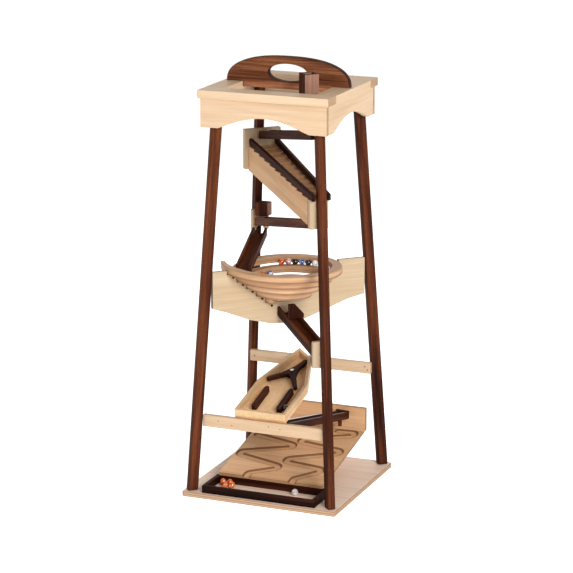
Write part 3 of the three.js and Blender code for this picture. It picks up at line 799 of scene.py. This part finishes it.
def add_spiral():
    """One long track, slightly hollow on top and rounded at its outer edge, wound inwards and down; its own
    coordinates run along the track."""
    half, tall, deep = SPIRAL["wide"] / 2, SPIRAL["tall"], SPIRAL["deep"]
    inner, outer, under = 1.6, 4.2, 1.6  # edge radii
    section = arc((-half + under, -tall + under), under, 180, 270, 4)
    section += arc((half - under, -tall + under), under, 270, 360, 4)
    section += arc((half - outer, -outer), outer, 0, 90, 8)
    groove = half - outer - 0.4
    for i in range(1, 12):
        t = math.pi * i / 12
        section.append((groove * math.cos(t) - 0.4, -deep * math.sin(t)))
    section += arc((-half + inner, -inner), inner, 90, 180, 4)
    lengths = [0.0]
    for a, b in zip(section, section[1:]):
        lengths.append(lengths[-1] + math.dist(a, b) * MM)
    rings = round(SPIRAL["turns"] * SPIRAL["per_turn"])
    points, marks = [], []
    travelled = 0.0
    for k in range(rings + 1):
        angle = SPIRAL["start"] + 360 * SPIRAL["turns"] * k / rings
        t = math.radians(angle)
        for j, (across, height) in enumerate(section):
            r = spiral_radius(angle) + half - (half - across) * spiral_share(angle)
            x, y = SPIRAL["x"] + r * math.cos(t), SPIRAL["y"] + r * math.sin(t)
            points.append((x * MM, y * MM, (spiral_top(angle) + height) * MM))
            marks.append((travelled, lengths[j]))
        travelled += spiral_radius(angle) * MM * 2 * math.pi / SPIRAL["per_turn"]
    mesh = mesh_from("spiral", points, tube_faces(rings + 1, len(section)))
    layer = mesh.uv_layers.new(name="run")
    for loop in mesh.loops:
        layer.data[loop.index].uv = marks[loop.vertex_index]
    sharpen(mesh, 40)
    # where the painted shadow line runs, in the gap above the turn below
    shadow_line_at = (SPIRAL["wide"] - 2 * under + math.pi * under + 0.5) * MM  # just above the outer lower edge
    material = wood("beech", "spiral", WIDE, 81, shadow_line_at=shadow_line_at)
    add_piece("spiral", mesh, material, replaces=["spiral_track"])


# ---- toggle -----------------------------------------------------------------------------------------
def tray_place():
    """From the tray's own frame, in metres, to the tower's."""
    shift = Matrix.Translation((TRAY["x"] * MM, TRAY["front"] * MM, TRAY["low"] * MM))
    return shift @ Matrix.Rotation(TRAY["tilt"], 4, "X")


def add_toggle():
    """Three arms that flow into one another around the screw."""
    middle = TOGGLE["pivot"]
    headings = [math.atan2(y - middle[1], x - middle[0]) for x, y, _ in TOGGLE_ARMS]
    reach = math.hypot(TOGGLE["root"], TOGGLE["half"])
    spread = math.atan2(TOGGLE["half"], TOGGLE["root"])

    def beside(distance, heading):
        return Vector(middle) + distance * Vector((math.cos(heading), math.sin(heading)))

    outline = []
    for i, (x, y, tip) in enumerate(TOGGLE_ARMS):
        heading, after = headings[i], headings[(i + 1) % 3]
        if after < heading:
            after += 2 * math.pi
        outline += arc((x, y), tip, math.degrees(heading) - 90, math.degrees(heading) + 90, 12)
        leave, arrive = beside(reach, heading + spread), beside(reach, after - spread)
        hollow = beside(TOGGLE["waist"], (heading + after) / 2)
        for k in range(17):
            f = k / 16
            outline.append(tuple(leave * (1 - f) ** 2 + hollow * 2 * f * (1 - f) + arrive * f**2))
    bore = arc(middle, 3.3, 360, 15, 23)
    thick = TOGGLE["high"] - TOGGLE["low"]
    mesh = board_mesh("toggle_arms", [outline, bore], thick, 1.6)
    mesh.transform(tray_place() @ Matrix.Translation((0, 0, (TOGGLE["low"] + thick / 2) * MM)))
    material = wood("walnut_dark", "toggle_arms", (0.3, 1, 0), 83)
    add_piece("toggle_arms", mesh, material, "toggle", ["toggle"])


# ---- zigzag board -----------------------------------------------------------------------------------
# each lane's corners and ends
ZIGZAGS = [
    [(-122, 92), (-13, 59), (-129, -4), (-9, -49), (-67, -93), (-67, -120)],
    [(72, 158), (116, 152), (-2, 91), (113, 57), (0, -11), (100, -39), (53, -93), (53, -120)],
]


def rounded(points, radius=11):
    """An open line whose corners are bends of one radius, joined by straight stretches."""
    corners = [Vector(p) for p in points]
    bends = [(corners[0], 0)]  # each bend's centre and its radius, above zero where the line turns left
    for before, corner, after in zip(corners, corners[1:], corners[2:]):
        came, goes = (corner - before).normalized(), (after - corner).normalized()
        side = math.copysign(radius, came.x * goes.y - came.y * goes.x)
        bends.append((corner + (goes - came).normalized() * radius, side))
    bends.append((corners[-1], 0))
    headings = []
    for (here, side), (there, next_side) in zip(bends, bends[1:]):
        gap = there - here
        headings.append(math.atan2(gap.y, gap.x) - math.asin((next_side - side) / gap.length))
    flowing = [points[0]]
    for (centre, side), came, goes in zip(bends[1:], headings, headings[1:]):
        sweep = (goes - came) % (2 * math.pi)
        if side < 0:
            sweep -= 2 * math.pi
        for k in range(13):
            heading = came + sweep * k / 12
            flowing.append((centre.x + side * math.sin(heading), centre.y - side * math.cos(heading)))
    return flowing + [points[-1]]


def distance_to_line(x, y, line):
    """Distance of each grid point from an open line."""
    nearest = np.full(x.shape, 1e9)
    for (ax, ay), (bx, by) in zip(line, line[1:]):
        dx, dy = bx - ax, by - ay
        along = np.clip(((x - ax) * dx + (y - ay) * dy) / (dx * dx + dy * dy + 1e-9), 0, 1)
        nearest = np.minimum(nearest, np.hypot(x - ax - along * dx, y - ay - along * dy))
    return nearest


def add_zigzag():
    """A sloping plywood sheet with round-bottomed lanes cut into its face."""
    step = 1.25
    nx = round((RAMP["right"] - RAMP["left"]) / step)
    ny = round((RAMP["back"] - RAMP["front"]) / step)
    across = np.linspace(RAMP["left"], RAMP["right"], nx + 1)
    x, y = np.meshgrid(across, np.linspace(RAMP["front"], RAMP["back"], ny + 1))
    nearest = np.minimum(*(distance_to_line(x, y, rounded(line)) for line in ZIGZAGS))
    inward = RAMP["groove"] - nearest  # how far inside a lane's edge a point is
    wall = 3.2  # width of a lane's curved wall
    cut = RAMP["deep"] * np.clip(inward / wall, 0, 1) ** 0.6
    face = RAMP["top"] + (y - RAMP["front"]) * RAMP["slope"]
    top = np.stack([x, y, face - cut], -1).reshape(-1, 3) * MM
    grid = np.arange(top.shape[0]).reshape(x.shape)
    rim = list(grid[0, :]) + list(grid[1:, -1]) + list(grid[-1, -2::-1]) + list(grid[-2:0:-1, 0])
    flat = face.reshape(-1) * MM
    under = [(top[i][0], top[i][1], flat[i] - RAMP["thick"] * MM) for i in rim]
    faces = []
    for j in range(ny):
        for i in range(nx):
            corners = (grid[j, i], grid[j, i + 1], grid[j + 1, i + 1], grid[j + 1, i])
            faces.append([int(c) for c in corners])
    first = len(top)
    count = len(rim)
    for k in range(count):
        j = (k + 1) % count
        faces.append([int(rim[j]), int(rim[k]), first + k, first + j])
    faces.append([first + k for k in range(count)])
    mesh = mesh_from("zigzag", list(map(tuple, top)) + under, faces)
    # where the lanes get painted shade on their floors and dark lines along their edges
    tints = {"lane": np.clip(inward / 2, 0, 1), "lane_edge": np.exp(-(((inward + 0.2) / 1.6) ** 2))}
    for name, tint in tints.items():
        layer = mesh.attributes.new(name, "FLOAT", "POINT")
        layer.data.foreach_set("value", list(tint.reshape(-1)) + [0.0] * len(under))
    sharpen(mesh, 55)
    stack = Vector((0, -RAMP["slope"], 1)).normalized()
    material = wood("birch_painted_light", "zigzag", WIDE, 85, plies=(tuple(stack), 0.0016), lanes=True)
    add_piece("zigzag", mesh, material, replaces=["zigzag_board"])


# ---- marbles ----------------------------------------------------------------------------------------
SWIRLS = {
    "amber": ((196, 50, 8), (232, 92, 22), (250, 150, 70)),
    "rose": ((200, 120, 140), (232, 186, 190), (250, 240, 238)),
    "black": ((4, 4, 6), (12, 12, 16), (34, 34, 42)),
    "blue": ((40, 66, 140), (120, 148, 205), (238, 242, 248)),
    "white": ((206, 200, 198), (240, 238, 236), (250, 249, 247)),
}


def add_marbles():
    """Glass balls, each with its own turn of the ribbons and a small flat where it was cut from the rod."""
    slots = {part["node"]: part["material_slot"] for part in frame["record"]["subparts"]}
    for seed, node in enumerate(n for n in sorted(frame["nodes"]) if n.startswith("marble_")):
        low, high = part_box(node)
        middle = (Vector(low) + Vector(high)) / 2
        work = bmesh.new()
        bmesh.ops.create_icosphere(work, subdivisions=5, radius=MARBLE_R * MM)
        dice = random.Random(seed)
        pole = Vector((dice.uniform(-1, 1), dice.uniform(-1, 1), dice.uniform(-1, 1))).normalized()
        flat = 0.985 * MARBLE_R * MM
        for vertex in work.verts:
            beyond = vertex.co.dot(pole) - flat
            if beyond > 0:
                vertex.co -= pole * beyond
        mesh = bpy.data.meshes.new("ball_" + node)
        work.to_mesh(mesh)
        work.free()
        for face in mesh.polygons:
            face.use_smooth = True
        colour = slots[node].removeprefix("glass_")
        seen_through = 0.0 if colour == "black" else 0.3
        material = glass("glass_" + node, SWIRLS[colour], seed, seen_through)
        add_piece("ball_" + node, mesh, material, node, [node], Matrix.Translation(middle))


# ---- small fittings ---------------------------------------------------------------------------------
def add_plug(name, place, way, radius, proud, kind, seed):
    """A wooden plug or a small dark dot: a low dome that looks along a direction."""
    profile = [(0, -3), (radius, -3), (radius, proud * 0.4), (radius * 0.8, proud), (0, proud)]
    turn = Vector(way).to_track_quat("Z", "Y").to_matrix().to_4x4()
    mesh = lathe_mesh(name, profile, 20)
    mesh.transform(Matrix.Translation(Vector(place) * MM) @ turn)
    add_piece(name, mesh, wood(kind, name, way, seed))


def add_exit_stop():
    """A block across the end of the right exit channel, with a short dark walnut post under it."""
    start, end = (Vector(point) for point in LANES["exit_channel_right"][:2])
    half, low, high, ease = 18, -9.5, 10.5, 1
    post_radius, post_tall = 5, 20
    way = (end - start).normalized()
    flat = Vector((way.x, way.y, 0)).normalized()
    outline = [(-half, low), (half, low), (half, high - ease), (half - ease, high)]
    outline += [(ease - half, high), (-half, high - ease)]
    mesh = board_mesh("exit_stop", [outline], 7, 1.2)
    side = Vector((-flat.y, flat.x, 0))
    turn = Matrix((side, Vector(UP), flat)).transposed().to_4x4()
    place = end + flat * 4 + Vector((0, 0, -8))
    mesh.transform(Matrix.Translation(place * MM) @ turn)
    add_piece("exit_stop", mesh, wood("walnut", "exit_stop", side, 120))
    post_at = end - flat * 9
    profile = [(0, 0), (post_radius - 0.5, 0), (post_radius, 0.5), (post_radius, post_tall), (0, post_tall)]
    post = lathe_mesh("exit_post", profile, 24)
    post.transform(Matrix.Translation(Vector((post_at.x, post_at.y, end.z - 16 - post_tall)) * MM))
    add_piece("exit_post", post, wood("walnut", "exit_post", UP, 121))


def add_fittings():
    """Small dark walnut domes on the cross board, one under each turn of the spiral, and small plugs in
    both stretchers.
    """
    front, cross = Vector(STAIR_WAY), Vector(CROSS_WAY)
    for k in range(5):
        inwards, down = SPIRAL["inward"] * k, SPIRAL["fall"] * k
        place = front * 6.2 + cross * (inwards - 147) + Vector((0, 0, 539 - down))
        add_plug("dark_dot_%d" % (k + 1), place, front, 3.3, 0.6, "walnut", 90 + k)
    for k, (x, z) in enumerate([(-118, 191), (-82, 184), (14, 192), (44, 189)]):
        add_plug("front_plug_%d" % (k + 1), (x, -163, z), (0, -1, 0), 1.3, 0.2, "walnut", 100 + k)
    for k, (x, z) in enumerate([(-150, 272), (148, 276), (155, 268)]):
        add_plug("back_plug_%d" % (k + 1), (x, 138.5, z), (0, -1, 0), 1.6, 0.3, "walnut", 110 + k)


add_camera()
add_studio()
add_floor()
finish_frame()
add_handle()
add_lanes()
add_spiral()
add_toggle()
add_zigzag()
add_marbles()
add_exit_stop()
add_fittings()
